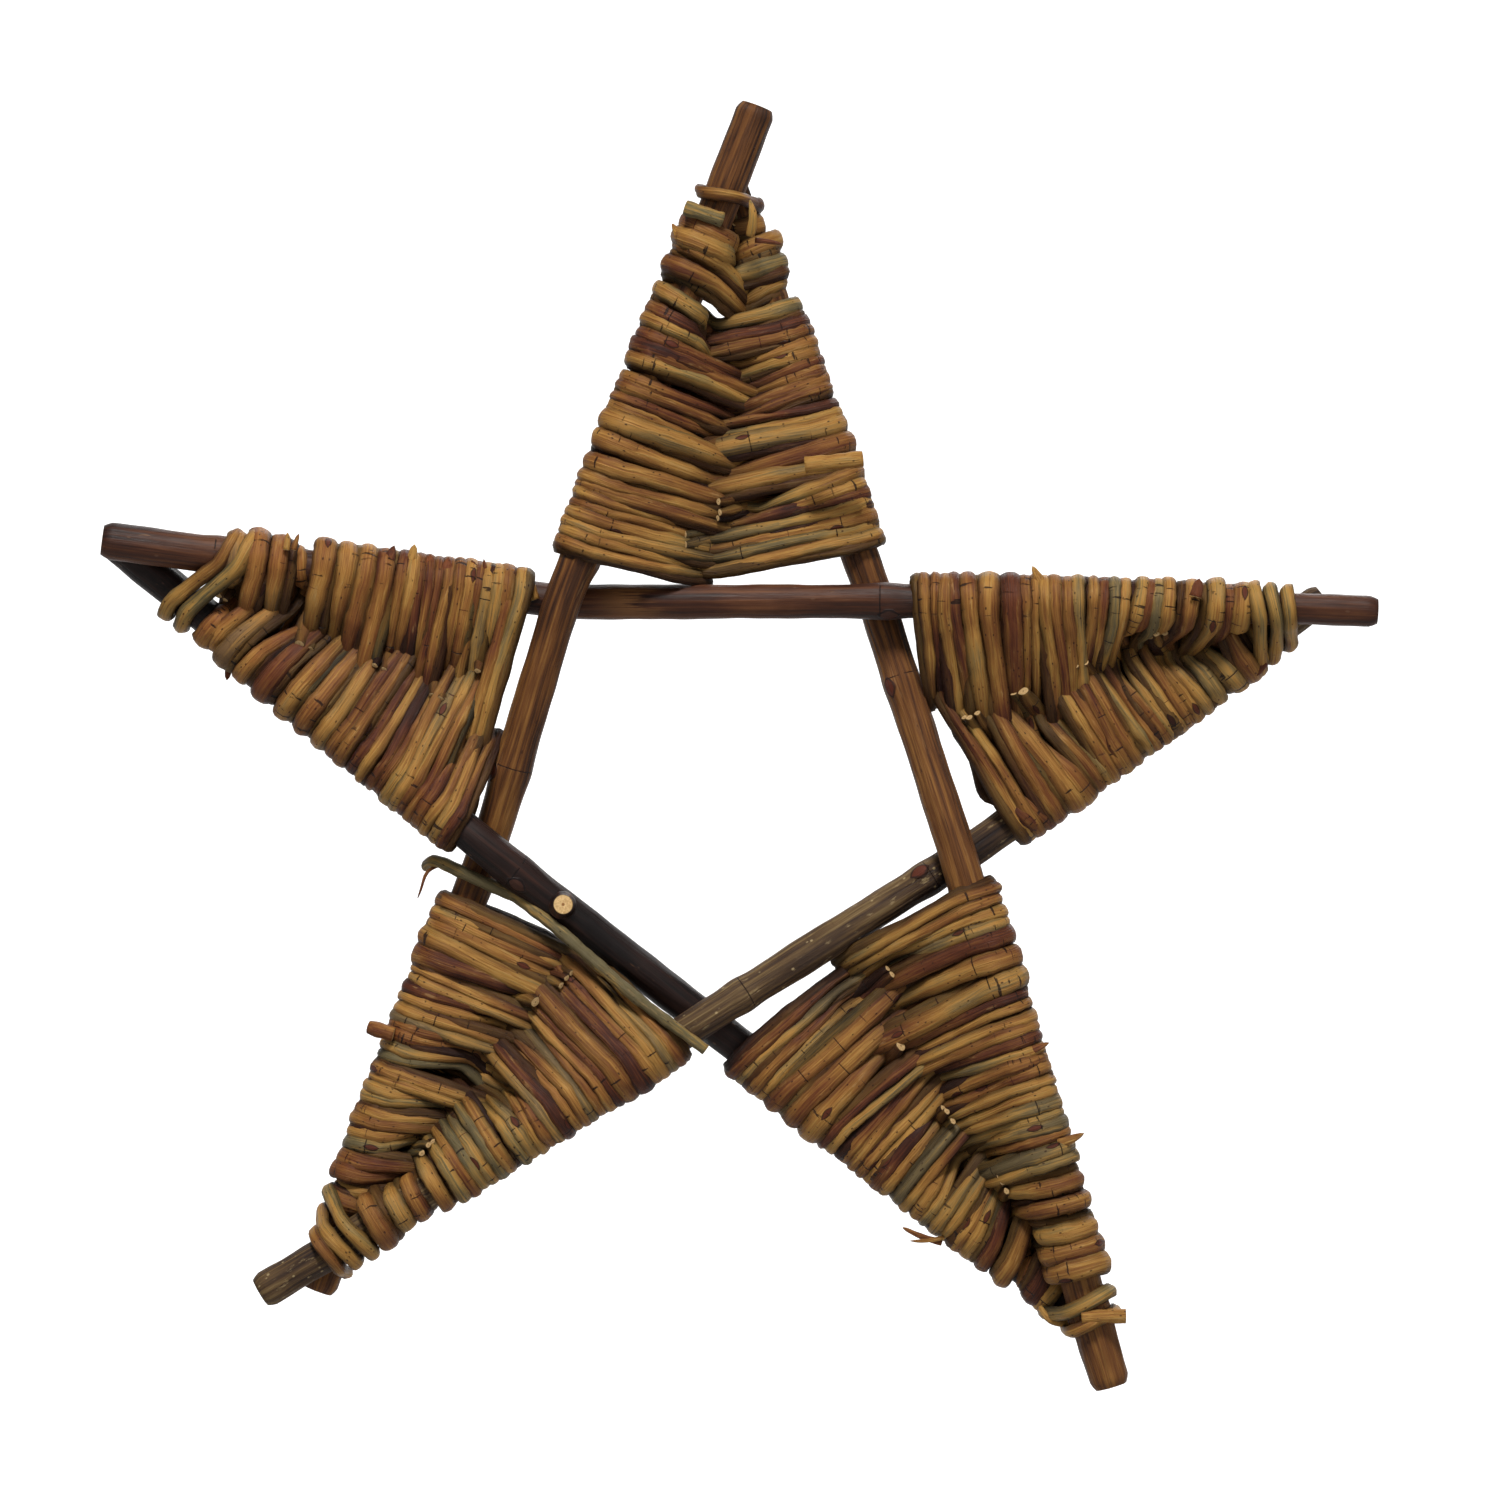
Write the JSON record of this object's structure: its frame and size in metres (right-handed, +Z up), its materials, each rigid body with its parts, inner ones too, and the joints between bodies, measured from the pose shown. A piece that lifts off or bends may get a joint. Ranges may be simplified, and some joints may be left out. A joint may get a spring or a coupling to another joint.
{
  "type": "woven willow star",
  "caption": "Five-pointed hanging star of crossed willow sticks, each arm filled with thin willow rods woven in figures of eight from stick to stick.",
  "frame": {"origin": "on the small flat on the underside of the crossbar, over the middle of the open centre, where the nail or hook bears", "axes": "+X to the viewer's right, +Z up through the top arm, the front of the star faces -Y"},
  "size_m": [0.3192, 0.0309, 0.3221],
  "materials": {
    "brown_bark": "warm brown bark, matt with a faint sheen",
    "dark_bark": "dark reddish-brown bark, smooth and slightly shiny",
    "grey_bark": "grey-brown bark with pale specks, matt",
    "rod_bark": "ochre to red-brown willow bark, dried, with a faint sheen"
  },
  "bodies": {
    "root": {"stick_top_to_lower_left": "brown_bark", "stick_top_to_lower_right": "brown_bark", "crossbar": "dark_bark", "stick_left_to_lower_right": "dark_bark", "stick_right_to_lower_left": "grey_bark", "tie_top": "rod_bark", "rod_top_1": "rod_bark", "rod_top_2": "rod_bark", "rod_top_3": "rod_bark", "rod_top_4": "rod_bark", "rod_top_5": "rod_bark", "rod_left_1": "rod_bark", "rod_left_2": "rod_bark", "rod_left_3": "rod_bark", "rod_left_4": "rod_bark", "rod_left_5": "rod_bark", "tie_lower_left": "rod_bark", "rod_lower_left_1": "rod_bark", "rod_lower_left_2": "rod_bark", "rod_lower_left_3": "rod_bark", "rod_lower_left_4": "rod_bark", "rod_lower_left_5": "rod_bark", "tie_lower_right": "rod_bark", "rod_lower_right_1": "rod_bark", "rod_lower_right_2": "rod_bark", "rod_lower_right_3": "rod_bark", "rod_lower_right_4": "rod_bark", "rod_lower_right_5": "rod_bark", "tie_right": "rod_bark", "rod_right_1": "rod_bark", "rod_right_2": "rod_bark", "rod_right_3": "rod_bark", "rod_right_4": "rod_bark", "rod_right_5": "rod_bark"}
  },
  "joints": []
}
